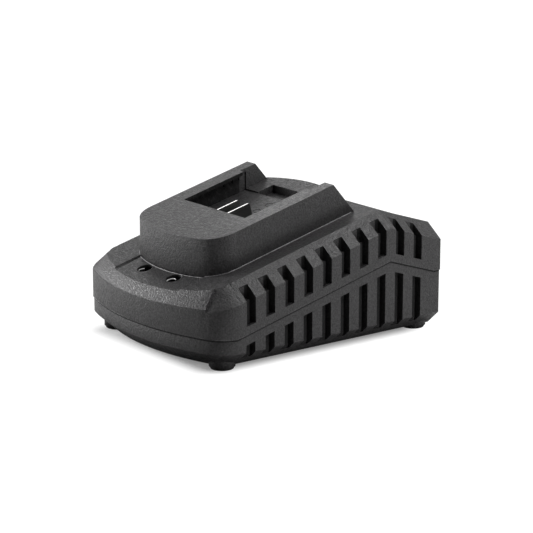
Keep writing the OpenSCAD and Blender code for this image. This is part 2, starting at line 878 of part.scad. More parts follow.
// Straight run of insulated wire from a to b with a round end
module wire_run(a, b, d) {
  v = b - a;
  l = norm(v);
  translate(a) rotate([0, acos(v[2] / l), atan2(v[1], v[0])]) cylinder(d = d, h = l);
  translate(b) sphere(d = d + 0.1);
}

tail_y = block_rear - blade_tail * cos(roof_angle) + lead_d / 2;
lead_foot_y = tail_y + 6;

module lead(s) {
  tail_z = slope_z(floor_z, tail_y) - lead_d / 2 - 0.25;
  foot = [s * (blade_pitch / 2 + 6), lead_foot_y, board_top_z];
  knee = [s * (blade_pitch / 2 + 6), lead_foot_y, board_top_z + 12];
  neck = [s * blade_pitch / 2, tail_y, tail_z - 8];
  wire_run(foot, knee, lead_d);
  wire_run(knee, neck, lead_d);
  wire_run(neck, [s * blade_pitch / 2, tail_y, tail_z], lead_d);
}

module positive_lead() {
  color("#b02a22") lead(-1);
}

module negative_lead() {
  color("#151515") lead(1);
}

// ---------------------------------------------------------------- indicators

module led_board() {
  color(board_color) difference() {
    on_slope(sight_y, panel_z) translate([-led_board_w / 2, -led_board_l / 2, -led_board_drop - board_t])
      cube([led_board_w, led_board_l, board_t]);
    at_led_screws() translate([0, 0, -led_board_drop - board_t - over])
      cylinder(d = small_screw_d + 2 * fit_gap, h = board_t + 2 * over);
  }
}

module led_board_screws() {
  color(steel_color) at_led_screws() translate([0, 0, -led_board_drop - board_t]) screw(small_screw_d - 0.4, 7, 2.2, 1.2);
}

// Round lamp with a collar at its foot and a domed end
module led(s) {
  h = led_board_drop - led_tip_drop;
  on_slope(sight_y, panel_z) translate([s * sight_pitch / 2, 0, -led_board_drop]) {
    cylinder(d = led_collar_d, h = 1);
    cylinder(d = led_d, h = h - led_d / 2);
    translate([0, 0, h - led_d / 2]) sphere(d = led_d);
  }
}

module red_led() {
  color("#d8d0d0") led(-1);
}

module green_led() {
  color("#d0d8d0") led(1);
}

// Flat cable from the lamps' board down to the main board
module led_ribbon() {
  w = 8;
  t = 1;
  top_y = sight_y + (led_board_l / 2 - 1.5) * cos(roof_angle);
  color("#8a8c90") translate([-w / 2, top_y - t, board_top_z])
    cube([w, t, slope_z(panel_z, top_y) - (led_board_drop + board_t + 0.3) / cos(roof_angle) - board_top_z]);
}

// ---------------------------------------------------------------- main board and what stands on it

module main_board() {
  color(board_color) difference() {
    translate([-board_w / 2, board_front, board_z]) cube([board_w, board_l, board_t]);
    at_board_screws() translate([0, 0, board_z - over]) cylinder(d = small_screw_d + 2 * fit_gap, h = board_t + 2 * over);
  }
}

module board_screws() {
  color(steel_color) at_board_screws() translate([0, 0, board_top_z]) mirror([0, 0, 1]) screw(small_screw_d, 5.5, 2.4, 1.5);
}

inlet_front = rear_y - 21;
inlet_hole_z = board_top_z + inlet_h / 2;
socket_w = 16.4;
socket_h = 8.2;
socket_l = 12;

module inlet_window() {
  translate([-inlet_w / 2 - fit_gap, rear_y - wall_t - 3 * over, board_top_z - fit_gap])
    cube([inlet_w + 2 * fit_gap, wall_t + 5 * over, inlet_h + 2 * fit_gap]);
}

module mains_inlet() {
  color(part_black) difference() {
    translate([-inlet_w / 2, inlet_front, board_top_z]) cube([inlet_w, rear_y - inlet_front, inlet_h]);
    translate([0, rear_y - socket_l, inlet_hole_z]) rotate([-90, 0, 0]) linear_extrude(height = socket_l + over) union() {
      for (s = [-1, 1]) translate([s * (socket_w - socket_h) / 2, 0]) circle(d = socket_h);
      translate([-(socket_w - socket_h) / 2, -socket_h / 2 + 0.9]) square([socket_w - socket_h, socket_h - 1.8]);
    }
    for (s = [-1, 1]) translate([s * inlet_pin_pitch / 2, inlet_front - over, inlet_hole_z]) rotate([-90, 0, 0])
      cylinder(d = inlet_pin_d, h = rear_y - socket_l - inlet_front + 2 * over);
  }
}

module inlet_pins() {
  color(steel_color) for (s = [-1, 1]) translate([s * inlet_pin_pitch / 2, 0, inlet_hole_z]) rotate([-90, 0, 0]) {
    translate([0, 0, inlet_front - 1.5]) cylinder(d = inlet_pin_d, h = rear_y - 2 - inlet_front);
    translate([0, 0, rear_y - 3.5]) sphere(d = inlet_pin_d);
  }
}

fuse_at = [-24, rear_y - 30, board_top_z];
fuse_l = 20;
fuse_r = 2.5;
fuse_lift = 4;

module fuse_tube() {
  color("#c9d6d8") translate(fuse_at + [0, fuse_l / 2, fuse_lift]) rotate([90, 0, 0]) cylinder(r = fuse_r, h = fuse_l);
}

module fuse_clips() {
  color(steel_color) for (e = [0, 1]) difference() {
    translate(fuse_at + [-3.2, (e - 0.5) * (fuse_l - 5) - 2, 0]) cube([6.4, 4, fuse_lift + 1.2]);
    translate(fuse_at + [0, fuse_l, fuse_lift]) rotate([90, 0, 0]) cylinder(r = fuse_r, h = 2 * fuse_l);
    translate(fuse_at + [-fuse_r + 0.5, -fuse_l, fuse_lift]) cube([2 * fuse_r - 1, 2 * fuse_l, 5]);
  }
}

module filter_capacitor() {
  color("#c7a33a") translate([16, rear_y - 32, board_top_z]) cube([10, 18, 15]);
}

choke_at = [1, rear_y - 34, board_top_z];
choke_r = 4.6;

// Square loop of ferrite lying on its side, with two windings
module choke_core() {
  color("#3a3a3c") translate(choke_at + [-10, -8, 4]) difference() {
    cube([20, 16, 5]);
    translate([5, 4.5, -over]) cube([10, 7, 5 + 2 * over]);
  }
}

module choke_winding() {
  color("#b5652b") for (e = [-1, 1]) translate(choke_at + [-5, e * 5.75, 6.5]) difference() {
    rotate([0, 90, 0]) cylinder(r = 6.5, h = 10);
    translate([-over, -2.25, -2.5]) cube([10 + 2 * over, 4.5, 5]);
    translate([-over, e > 0 ? -big / 2 - 5.65 : 5.65, -big / 4]) cube([10 + 2 * over, big / 2, big / 2]);
  }
}

module bridge_rectifier() {
  color(part_black) translate([-33, rear_y - 56, board_top_z]) cube([4, 15, 14]);
}

bulk_at = [-19.5, rear_y - 56, board_top_z];
bulk_r = 8;
bulk_h = 27;

module bulk_capacitor() {
  color("#23262e") translate(bulk_at) rotate_extrude() union() {
    square([bulk_r, bulk_h]);
    translate([bulk_r - 0.4, 2.2]) circle(r = 0.8);
  }
}

primary_at = [-28, rear_y - 86, board_top_z];
secondary_at = [26, rear_y - 96, board_top_z];
sink_t = 2.5;
sink_l = 26;
sink_h = 24;

module heat_sink(at, s) {
  translate(at) difference() {
    union() {
      translate([-sink_t / 2, -sink_l / 2, 0]) cube([sink_t, sink_l, sink_h]);
      translate([s > 0 ? -sink_t / 2 - 6 : sink_t / 2 - over, -sink_l / 2, sink_h - 2]) cube([6 + over, sink_l, 2]);
    }
    translate([-big / 4, 0, 17]) rotate([0, 90, 0]) cylinder(d = small_screw_d, h = big / 2);
  }
}

// Flat power device standing against its heat sink
module power_device(at, s) {
  x0 = s > 0 ? sink_t / 2 : -sink_t / 2 - 4.5;
  translate(at) difference() {
    union() {
      translate([x0, -5, 5]) cube([4.5, 10, 9]);
      translate([s > 0 ? sink_t / 2 : -sink_t / 2 - 1.3, -5, 14 - over]) cube([1.3, 10, 6 + over]);
      for (i = [-1, 0, 1]) translate([x0 + 1.8, i * 2.54 - 0.4, 0]) cube([0.6, 0.8, 5 + over]);
    }
    translate([-big / 4, 0, 17]) rotate([0, 90, 0]) cylinder(d = small_screw_d + 2 * fit_gap, h = big / 2);
  }
}

module primary_heat_sink() {
  color("#9da1a5") heat_sink(primary_at, 1);
}

module secondary_heat_sink() {
  color("#9da1a5") heat_sink(secondary_at, -1);
}

module switching_transistor() {
  color(part_black) power_device(primary_at, 1);
}

module output_rectifier() {
  color(part_black) power_device(secondary_at, -1);
}

module heat_sink_screws() {
  color(steel_color) {
    translate(primary_at + [sink_t / 2 + 1.3, 0, 17]) rotate([0, -90, 0]) screw(small_screw_d, 5, 2.4, 1.5);
    translate(secondary_at + [-sink_t / 2 - 1.3, 0, 17]) rotate([0, 90, 0]) screw(small_screw_d, 5, 2.4, 1.5);
  }
}

// Midway between the battery leads and the choke
core_at = [2, (lead_foot_y + choke_at[1]) / 2 - 6, board_top_z];
core_w = 32;
core_l = 16;
core_h = 27;
leg_w = 5;
post_w = 9;

// Two-window ferrite core round an upright winding
module transformer_core() {
  color("#39393b") translate(core_at + [0, 0, 2]) difference() {
    translate([-core_w / 2, -core_l / 2, 0]) cube([core_w, core_l, core_h]);
    for (s = [-1, 1])
      translate([s > 0 ? post_w / 2 : -core_w / 2 + leg_w, -core_l, leg_w])
        cube([core_w / 2 - leg_w - post_w / 2, 2 * core_l, core_h - 2 * leg_w]);
  }
}

module transformer_winding() {
  wind_w = core_w - 2 * leg_w;
  wind_l = core_l + 2 * (wind_w - post_w) / 2;
  color("#c9b23a") translate(core_at + [0, 0, 2]) difference() {
    union() {
      translate([-wind_w / 2, -wind_l / 2, leg_w]) cube([wind_w, wind_l, core_h - 2 * leg_w]);
      for (e = [0, 1]) translate([-wind_w / 2, e > 0 ? core_l / 2 : -wind_l / 2 - 2, -2])
        cube([wind_w, wind_l / 2 - core_l / 2 + 2, leg_w + 2]);
    }
    translate([-post_w / 2, -core_l / 2, -over]) cube([post_w, core_l, core_h + 2 * over]);
  }
}

output_r = 4;
output_h = 11.5;
output_pitch = 9.5;

module output_capacitors() {
  front_one = secondary_at + [-5, -sink_l / 2 - output_r - 1, 0];
  color("#23262e") for (i = [0, 1]) translate(front_one - [0, i * output_pitch, 0]) rotate_extrude() union() {
    square([output_r, output_h]);
    translate([output_r - 0.3, 2]) circle(r = 0.6);
  }
}

module optocoupler() {
  color(part_black) translate([-20, rear_y - 108, board_top_z]) cube([6.5, 5, 3.6]);
}

module control_chip() {
  color(part_black) translate([-26, rear_y - 122, board_top_z]) cube([10, 6, 1.8]);
}

bottom_shell();
top_shell();
battery_dock();
rubber_feet();
case_screws();
dock_screws();
terminal_block();
terminal_screws();
positive_blade();
negative_blade();
positive_lead();
negative_lead();
led_board();
led_board_screws();
red_led();
green_led();
led_ribbon();
main_board();
board_screws();
mains_inlet();
inlet_pins();
fuse_tube();
fuse_clips();
filter_capacitor();
choke_core();
choke_winding();
bridge_rectifier();
bulk_capacitor();
primary_heat_sink();
switching_transistor();
transformer_core();
transformer_winding();
secondary_heat_sink();
output_rectifier();
heat_sink_screws();
output_capacitors();
optocoupler();
control_chip();
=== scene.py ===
"""A bench charger for a slide-on tool battery, dressed for rendering: case, dock, lamps, blades."""

import math

import bmesh
import bpy
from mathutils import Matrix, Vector


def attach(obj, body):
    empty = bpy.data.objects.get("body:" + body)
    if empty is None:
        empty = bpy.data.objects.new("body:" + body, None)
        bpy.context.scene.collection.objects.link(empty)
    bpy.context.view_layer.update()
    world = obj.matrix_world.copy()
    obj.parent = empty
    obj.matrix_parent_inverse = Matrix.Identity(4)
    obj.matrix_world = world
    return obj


bl_info = {
    "name": "Bench Battery Charger",
    "version": (1, 0, 0),
    "blender": (4, 5, 0),
    "location": "View3D > Sidebar > Charger",
    "description": "Finishes and fine details of a bench battery charger, with its stage",
    "category": "Add Mesh",
}

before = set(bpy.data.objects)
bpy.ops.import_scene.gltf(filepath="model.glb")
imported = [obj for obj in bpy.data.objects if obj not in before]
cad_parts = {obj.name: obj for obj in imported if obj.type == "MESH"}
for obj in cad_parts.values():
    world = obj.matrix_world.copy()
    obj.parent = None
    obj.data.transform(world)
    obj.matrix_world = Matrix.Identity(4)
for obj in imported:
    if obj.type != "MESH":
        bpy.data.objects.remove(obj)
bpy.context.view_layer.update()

MM = 1000.0  # millimetres in a metre
WHITE = (1.0, 1.0, 1.0, 1.0)


# ---------------------------------------------------------------- shader maths


class Sock:
    """A value in a node tree, with the usual arithmetic."""

    def __init__(self, tree, socket):
        self.tree, self.socket = tree, socket

    def _math(self, operation, *values):
        values = dict(enumerate(values))
        return add_node(self.tree, "ShaderNodeMath", {"operation": operation}, values)

    def __add__(self, other):
        return self._math("ADD", self, other)

    def __radd__(self, other):
        return self._math("ADD", other, self)

    def __sub__(self, other):
        return self._math("SUBTRACT", self, other)

    def __rsub__(self, other):
        return self._math("SUBTRACT", other, self)

    def __mul__(self, other):
        return self._math("MULTIPLY", self, other)

    def __rmul__(self, other):
        return self._math("MULTIPLY", other, self)

    def __truediv__(self, other):
        return self._math("DIVIDE", self, other)

    def __rtruediv__(self, other):
        return self._math("DIVIDE", other, self)

    def fraction(self):
        return self._math("FRACT", self)

    def root(self):
        return self._math("POWER", self, 0.5)

    def size(self):
        """The value without its sign."""
        return (self * self).root()

    def least(self, other):
        return self._math("MINIMUM", self, other)

    def most(self, other):
        return self._math("MAXIMUM", self, other)

    def clamp(self, low=0.0, high=1.0):
        return self.most(low).least(high)

    def smooth(self, low, high):
        """0 below low, 1 above high, with a soft step between."""
        return add_node(
            self.tree,
            "ShaderNodeMapRange",
            {"interpolation_type": "SMOOTHSTEP"},
            {"Value": self, "From Min": low, "From Max": high},
        )


def fill(tree, node, values):
    """Give a node's sockets their values, or their links where the value is a Sock."""
    for key, value in values.items():
        if isinstance(value, Sock):
            tree.links.new(value.socket, node.inputs[key])
        else:
            node.inputs[key].default_value = value


def add_node(tree, kind, settings=None, values=None, output=0):
    """Add a node: its settings first, then its sockets. Returns the wanted output."""
    node = tree.nodes.new(kind)
    for name, value in (settings or {}).items():
        setattr(node, name, value)
    fill(tree, node, values or {})
    return Sock(tree, node.outputs[output])


def fresh_material(name):
    """A new material with its node tree, shader and output."""
    material = bpy.data.materials.new(name)
    material.use_nodes = True
    tree = material.node_tree
    shader = next(n for n in tree.nodes if n.type == "BSDF_PRINCIPLED")
    out = next(n for n in tree.nodes if n.type == "OUTPUT_MATERIAL")
    return material, tree, shader, out


def place(tree):
    """Where a point is on the part, in millimetres."""
    spot = add_node(tree, "ShaderNodeTexCoord", output=3)
    return add_node(tree, "ShaderNodeVectorMath", {"operation": "SCALE"}, {0: spot, "Scale": MM})


def stretched(tree, spot, along):
    """A place with each of its three parts multiplied, to draw a texture out into lines."""
    return add_node(tree, "ShaderNodeVectorMath", {"operation": "MULTIPLY"}, {0: spot, 1: along})


def axes_of(tree, vector):
    """The three parts of a place or direction."""
    outs = add_node(tree, "ShaderNodeSeparateXYZ", values={0: vector}).socket.node.outputs
    return [Sock(tree, outs[i]) for i in range(3)]


def facing(tree, flat=False):
    """The parts of the surface's direction, or of its faces' before smoothing if flat is set."""
    return axes_of(tree, add_node(tree, "ShaderNodeNewGeometry", output=3 if flat else 1))


def noise(tree, spot, size, detail=2.0, rough=0.5):
    """Soft noise about 0.5, with features of the given size in millimetres."""
    return add_node(
        tree,
        "ShaderNodeTexNoise",
        {"noise_dimensions": "3D"},
        {"Vector": spot, "Scale": 1.0 / size, "Detail": detail, "Roughness": rough},
    )


def scaled(colour, k):
    return tuple(min(1.0, c * k) for c in colour[:3])


def mixed(tree, fac, first, second):
    """A colour between two colours, or between the outputs of two nodes, by fac."""
    first, second = (c if isinstance(c, Sock) else (*c, 1.0) for c in (first, second))
    return add_node(
        tree, "ShaderNodeMix", {"data_type": "RGBA"}, {0: fac, 6: first, 7: second}, output=2
    )


def bump(tree, height, strength, distance):
    """A surface direction from a height. The distance is in metres."""
    return add_node(
        tree,
        "ShaderNodeBump",
        values={"Height": height, "Strength": strength, "Distance": distance},
    )


def seen_white(tree):
    """1 for rays from the camera or through glass, and a faint share for reflections."""
    outs = add_node(tree, "ShaderNodeLightPath").socket.node.outputs
    camera, glossy, through = (
        Sock(tree, outs["Is %s Ray" % kind]) for kind in ("Camera", "Glossy", "Transmission")
    )
    return (camera + through + glossy * 0.08).clamp()


# ---------------------------------------------------------------- finishes


class Grain:
    """How the moulded plastic looks close up."""

    height = 0.0004  # metres
    speck_size, speck_contrast = 2.1, 0.7  # beside the fine grain's
    mottling_size, mottling_contrast = 8.0, 0.18  # size in millimetres
    darkest, lightest = 0.06, 1.94  # shares of the plastic's colour
    gloss_spread = 0.9  # how far the speckle moves the roughness
    dull_rise = 0.6  # what full dulling adds to the roughness
    # In the band the coarse grain takes over from the rest
    band_gloss, band_speck, band_height = 0.9, 0.7, 0.85
    band_sparkle, band_darkest, band_lightest = 2.4, 0.6, 3.4


def moulded_plastic(name, colour, grain, contrast, depth, roughness, band=None, painted_shade_and_gloss=None):
    """Spark-eroded plastic: a fine grain, in millimetres, with faint mottling.

    band says where the grain is coarse and sparkles. The last argument gives painted shade: how
    much darker a place is painted, and duller, with values below 0 where painted light makes it
    lighter and glossier.
    """
    material, tree, shader, _ = fresh_material(name)
    spot = place(tree)
    fine = noise(tree, spot, grain)
    speck = noise(tree, spot, grain * Grain.speck_size, 3.0, 0.6)
    mottling = noise(tree, spot, Grain.mottling_size)
    shade = (fine - 0.5) * contrast + (speck - 0.5) * (contrast * Grain.speck_contrast)
    shade = shade + (mottling - 0.5) * Grain.mottling_contrast + 0.5
    height = fine + speck
    rough = roughness + (speck - 0.5) * Grain.gloss_spread
    if band is not None:
        inside = band(tree, spot)
        coarse = noise(tree, spot, grain, 1.0)
        change = (coarse - 0.5) * Grain.band_gloss - (speck - 0.5) * Grain.band_speck
        rough = rough + inside * change
        height = height * (1.0 - inside * Grain.band_height) + inside * coarse
    if painted_shade_and_gloss is not None:
        shade_and_gloss_mask = painted_shade_and_gloss(tree, spot)
        # Painted shade darkens the colour here; below 0 it is painted light.
        shade = shade * (1.0 - shade_and_gloss_mask)
        rough = rough + shade_and_gloss_mask * Grain.dull_rise
    base = mixed(
        tree, shade.clamp(), scaled(colour, Grain.darkest), scaled(colour, Grain.lightest)
    )
    if band is not None:
        sparkle = ((coarse - 0.5) * Grain.band_sparkle + 0.5).clamp()
        sparkle_and_painted_light = mixed(
            tree, sparkle, scaled(colour, Grain.band_darkest), scaled(colour, Grain.band_lightest)
        )
        base = mixed(tree, inside, base, sparkle_and_painted_light)
    normal = bump(tree, height, depth, Grain.height)
    fill(tree, shader, {"Base Color": base, "Roughness": rough.clamp(0.05), "Normal": normal})
    shader.inputs["Specular IOR Level"].default_value = 0.5
    return material


def plain(
    name, colour, roughness, metallic=0.0, grain=0.6, contrast=0.15, coat=0.0, transmission=0.0
):
    """A simple finish with a little unevenness in its colour and gloss, grain in millimetres."""
    material, tree, shader, _ = fresh_material(name)
    uneven = noise(tree, place(tree), grain, 3.0, 0.6)
    dark, light = scaled(colour, 1.0 - contrast), scaled(colour, 1.0 + contrast)
    rough = (roughness + (uneven - 0.5) * 0.15).clamp(0.03)
    fill(tree, shader, {"Base Color": mixed(tree, uneven, dark, light), "Roughness": rough})
    shader.inputs["Metallic"].default_value = metallic
    shader.inputs["Coat Weight"].default_value = coat
    shader.inputs["Transmission Weight"].default_value = transmission
    return material


def glow(name, colour, roughness, strength):
    """A painted glint: a bright finish that glows, though it is no lamp, so it stays visible in a
    deep hole.
    """
    material, tree, shader, _ = fresh_material(name)
    uneven = noise(tree, place(tree), 0.8)
    base = mixed(tree, uneven, scaled(colour, 0.7), scaled(colour, 1.2))
    shine = mixed(tree, uneven, scaled(colour, 0.5), scaled(colour, 1.25))
    fill(tree, shader, {"Base Color": base, "Emission Color": shine})
    shader.inputs["Emission Strength"].default_value = strength
    shader.inputs["Roughness"].default_value = roughness
    return material


def brushed(name, colour, roughness, along=(1.0, 1.0, 0.06)):
    """Metal with fine lines along one direction."""
    line_pitch = 0.35
    material, tree, shader, _ = fresh_material(name)
    lines = noise(tree, stretched(tree, place(tree), along), line_pitch, 3.0, 0.6)
    base = mixed(tree, lines, scaled(colour, 0.72), scaled(colour, 1.15))
    rough = (roughness + (lines - 0.5) * 0.3).clamp(0.05)
    normal = bump(tree, lines, 0.15, 0.0001)
    fill(tree, shader, {"Base Color": base, "Roughness": rough, "Normal": normal})
    shader.inputs["Metallic"].default_value = 1.0
    return material


def striped(name, dark, light, axis, pitch, share, roughness, coat=0.0):
    """Turns of wire or tape, or a flat cable's strands: stripes across one axis, in millimetres."""
    material, tree, shader, _ = fresh_material(name)
    spot = place(tree)
    waver = (noise(tree, spot, 4.0) - 0.5) * 0.2
    wave = (axes_of(tree, spot)[axis] * (1.0 / pitch) + waver).fraction()
    crest = (wave * (1.0 - wave) * 4.0).root()
    base = mixed(tree, crest.smooth(1.0 - share, 1.0), dark, light)
    fill(tree, shader, {"Base Color": base, "Normal": bump(tree, crest, 0.6, 0.0003)})
    shader.inputs["Roughness"].default_value = roughness
    shader.inputs["Coat Weight"].default_value = coat
    return material


def solder_mask(name):
    """Circuit board: copper runs under a green lacquer, with rows of tinned pads."""
    green, tin = (0.012, 0.085, 0.035), (0.62, 0.62, 0.6)
    runs_per_mm, pads_per_mm = 0.22, 0.3937
    material, tree, shader, _ = fresh_material(name)
    spot = place(tree)
    edges = add_node(
        tree,
        "ShaderNodeTexVoronoi",
        {"feature": "DISTANCE_TO_EDGE"},
        {"Vector": spot, "Scale": runs_per_mm},
    )
    run = 1.0 - edges.smooth(0.05, 0.09)
    x, y, _ = axes_of(tree, spot)
    across, along = (x * pads_per_mm).fraction() - 0.5, (y * pads_per_mm).fraction() - 0.5
    pad = 1.0 - (across * across + along * along).smooth(0.035, 0.05)
    pad = pad * noise(tree, spot, 14.0, 1.0).smooth(0.56, 0.6)
    base = mixed(tree, pad, mixed(tree, run, green, scaled(green, 1.9)), tin)
    normal = bump(tree, run * 0.5 + pad, 0.3, 0.0002)
    fill(tree, shader, {"Base Color": base, "Metallic": pad, "Normal": normal})
    shader.inputs["Roughness"].default_value = 0.35
    return material


def sleeve(name, colour, mark, mark_from):
    """Shrink sleeve of an upright capacitor, with a bare metal top.

    A pale mark runs down the side that faces +x, where the direction's x is above mark_from.
    """
    metal = (0.6, 0.6, 0.62)
    material, tree, shader, _ = fresh_material(name)
    nx, _, nz = facing(tree)
    stripe = nx.smooth(mark_from, mark_from + 0.06) * (1.0 - nz.smooth(0.5, 0.6))
    top = nz.smooth(0.7, 0.8)
    base = mixed(tree, top, mixed(tree, stripe, colour, mark), metal)
    rough = (0.35 + (noise(tree, place(tree), 0.8) - 0.5) * 0.2).clamp(0.05)
    fill(tree, shader, {"Base Color": base, "Metallic": top, "Roughness": rough})
    return material


def contact_metal(name, colour):
    """Tinned blade: sides painted dark as a painted reflection of dark surroundings, with faint
    draw lines, and a painted highlight on the bright top edge.
    """
    material, tree, shader, _ = fresh_material(name)
    _, _, nz = facing(tree)
    # Painted highlight on faces that look up; the sides below get a painted dark reflection.
    sparkle_and_painted_light = nz.smooth(0.35, 0.75)
    lines = noise(tree, stretched(tree, place(tree), (1.0, 0.08, 1.0)), 0.4)
    painted_dark_sides = mixed(tree, lines, scaled(colour, 0.16), scaled(colour, 0.3))
    base = mixed(tree, sparkle_and_painted_light, painted_dark_sides, scaled(colour, 0.85))
    rough = (0.42 - sparkle_and_painted_light * 0.12 + (lines - 0.5) * 0.2).clamp(0.05)
    fill(tree, shader, {"Base Color": base, "Roughness": rough})
    shader.inputs["Metallic"].default_value = 1.0
    return material


# ---------------------------------------------------------------- the charger's lines


class Lines:
    """Main lines of the charger in millimetres, as the solids have them."""

    body_w, body_l = 121.0, 154.0
    ridge_y, roof_z = 42.5, 56.0
    roof_angle, rear_angle = math.radians(14.2), math.radians(18.0)
    seam_front_z, seam_mid_z, seam_rear_z = 17.5, 31.6, 32.6
    # The bevel over the front wall lies above a plane that leans with band_lean
    band_y, band_half_w, band_z, band_lean = -60.0, 49.9, 42.2, 0.14
    sight_x, sight_y, sight_r = 12.8, -60.6, 4.15
    panel_half_w, panel_drop = 28.45, 0.8
    slot_y, slot_pitch, slot_w, slot_count = -50.2, 12.0, 5.6, 10
    slot_foot_z, slot_depth = 6.4, 7.3
    ledge_w, ledge_depth = 3.4, 3.0
    dock_half_w, dock_y, dock_bow_r, dock_corner_r = 36.9, -57.0, 95.0, 14.0
    pocket_half_w, pocket_y, pocket_rear_y, pocket_z = 30.6, -26.2, 12.6, 60.0

    @classmethod
    def up(cls, level, y):
        """Height at y of a surface that follows the front slope of the roof."""
        return level + math.tan(cls.roof_angle) * y


def mm(*values):
    """A point given in millimetres, in metres."""
    return Vector(values) / MM


def arc(centre, radius, start, end, count):
    """Points on an arc in plan, angles in degrees."""
    turns = [math.radians(start + (end - start) * i / count) for i in range(count + 1)]
    return [(centre[0] + radius * math.cos(t), centre[1] + radius * math.sin(t)) for t in turns]


def dock_foot(gap, rear_y):
    """The dock's outline in plan, from its right rear end round the nose to its left rear end."""
    lines = Lines
    side_steps, corner_steps, nose_steps = 24, 16, 40
    bow_y = lines.dock_y + lines.dock_bow_r
    corner_x = lines.dock_half_w - lines.dock_corner_r
    corner_y = bow_y - math.sqrt((lines.dock_bow_r - lines.dock_corner_r) ** 2 - corner_x**2)
    meet = math.degrees(math.atan2(corner_y - bow_y, corner_x))
    side = lines.dock_half_w + gap
    right = [(side, rear_y + (corner_y - rear_y) * i / side_steps) for i in range(side_steps)]
    right += arc((corner_x, corner_y), lines.dock_corner_r + gap, 0.0, meet, corner_steps)
    nose = arc((0.0, bow_y), lines.dock_bow_r + gap, meet, -180.0 - meet, nose_steps)[1:-1]
    left = [(-x, y) for x, y in reversed(right)]
    return right + nose + left


def front_band(tree, spot):
    """1 on the coarsely grained bevel over the front wall."""
    lines = Lines
    x, y, z = axes_of(tree, spot)
    _, ny, nz = facing(tree, flat=True)
    ahead = (y * -1.0).smooth(-lines.band_y, 0.6 - lines.band_y)
    above = (z - (y * lines.band_lean + lines.band_z)).smooth(-0.15, 0.15)
    bevel = (ny * -1.0).smooth(0.3, 0.36) * nz.smooth(0.2, 0.3)
    middle = (x * x).smooth(lines.band_half_w**2, (lines.band_half_w - 0.3) ** 2)
    return ahead * above * bevel * middle


def seam_height(y):
    """Height of the seam between the shells: level in front, up with the roof, down behind."""
    lines = Lines
    rise = lines.up(lines.seam_mid_z, y)
    fall = (y - lines.ridge_y) * -math.tan(lines.rear_angle)
    fall = fall + lines.up(lines.seam_mid_z, lines.ridge_y)
    behind = y.smooth(lines.ridge_y - 0.1, lines.ridge_y)
    level = behind * (lines.seam_rear_z - lines.seam_front_z) + lines.seam_front_z
    return rise.least(fall).most(level)


def slot_painted_shade(tree, x, y, z):
    """Painted shade in the side slots: dark deep inside and at their jambs, less on their ledges.
    """
    lines = Lines
    wall = lines.body_w / 2
    side = x.size()
    nx, ny, _ = facing(tree, flat=True)
    along = (y - lines.slot_y) * (1.0 / lines.slot_pitch)
    across = along.fraction() * lines.slot_pitch
    row = along.smooth(-0.01, 0.0)
    row = row * (1.0 - along.smooth(lines.slot_count - 0.2, lines.slot_count))
    within = row * (1.0 - across.smooth(lines.slot_w, lines.slot_w + 0.05))
    within = within * z.smooth(lines.slot_foot_z, lines.slot_foot_z + 0.2)
    within = within * side.smooth(wall - lines.slot_depth, wall - lines.slot_depth + 0.1)
    deep = 1.0 - side.smooth(wall - 1.9, wall - 1.7)
    jamb = (ny * ny).smooth(0.5, 0.7) * (1.0 - side.smooth(wall - 0.5, wall - 0.2))
    front = (nx * nx).smooth(0.7, 0.9)
    front = front * (1.0 - across.smooth(lines.ledge_w, lines.ledge_w + 0.1))
    ledge = front * side.smooth(wall - lines.ledge_depth, wall - lines.ledge_depth + 0.1)
    return within * (deep + jamb).clamp() * (0.98 - ledge * 0.12 - (front - ledge) * 0.9)


def case_painted_light(tree, spot):
    """Painted shade on the case, which also makes it duller: in the slots and as a dark line under
    the seam, with a broken painted highlight, lighter and glossier, along the seam's edge.
    """
    x, y, z = axes_of(tree, spot)
    dark = slot_painted_shade(tree, x, y, z)
    above = z - seam_height(y)
    # Painted shadow: a dark line just below the seam, under the upper shell's step.
    seam_shadow = above.smooth(-1.0, -0.7) * (1.0 - above.smooth(-0.15, 0.0))
    # Painted highlight: a broken bright edge just above the seam.
    edge = above.smooth(0.0, 0.1) * (1.0 - above.smooth(0.35, 0.5))
    edge = edge * noise(tree, spot, 9.0).smooth(0.4, 0.6)
    return dark + (1.0 - dark) * (seam_shadow * 0.75 - edge * 0.8)


def dock_painted_light(tree, spot):
    """Painted shade on the dock, which also makes it duller: patchy on the pocket's walls and along
    the sides' foot, with painted light, lighter and glossier, on top at the right.
    """
    lines = Lines
    x, y, z = axes_of(tree, spot)
    _, _, nz = facing(tree, flat=True)
    # Painted shade on the pocket's walls, made patchy by noise.
    within = 1.0 - (x * x).smooth(lines.pocket_half_w**2, (lines.pocket_half_w + 0.4) ** 2)
    within = within * y.smooth(lines.pocket_y - 0.1, lines.pocket_y + 0.1)
    within = within * (1.0 - y.smooth(lines.pocket_rear_y, lines.pocket_rear_y + 1.0))
    within = within * z.smooth(lines.pocket_z, lines.pocket_z + 0.5)
    upright = 1.0 - (nz * nz).smooth(0.2, 0.5)
    patchiness = noise(tree, spot, 3.0, 3.0).smooth(0.45, 0.65)
    # Painted shade along the foot of the dock's sides.
    outer = (x * x).smooth((lines.dock_half_w - 1.4) ** 2, (lines.dock_half_w - 0.6) ** 2)
    foot = (1.0 - (z - lines.up(lines.roof_z, y)).smooth(2.0, 8.5)) * outer
    # Painted light on the top at the right.
    sparkle_and_painted_light = x.smooth(8.0, 30.0) * nz.smooth(0.8, 0.9) * y.smooth(-50.0, -15.0)
    return (within * upright * (0.9 - patchiness * 0.25) + foot * 0.4).clamp() - sparkle_and_painted_light * 0.2


# ---------------------------------------------------------------- pieces


def finish_node(name, material):
    """Give a solid of the frame its finish."""
    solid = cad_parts[name]
    solid.data.materials.clear()
    solid.data.materials.append(material)
    return solid


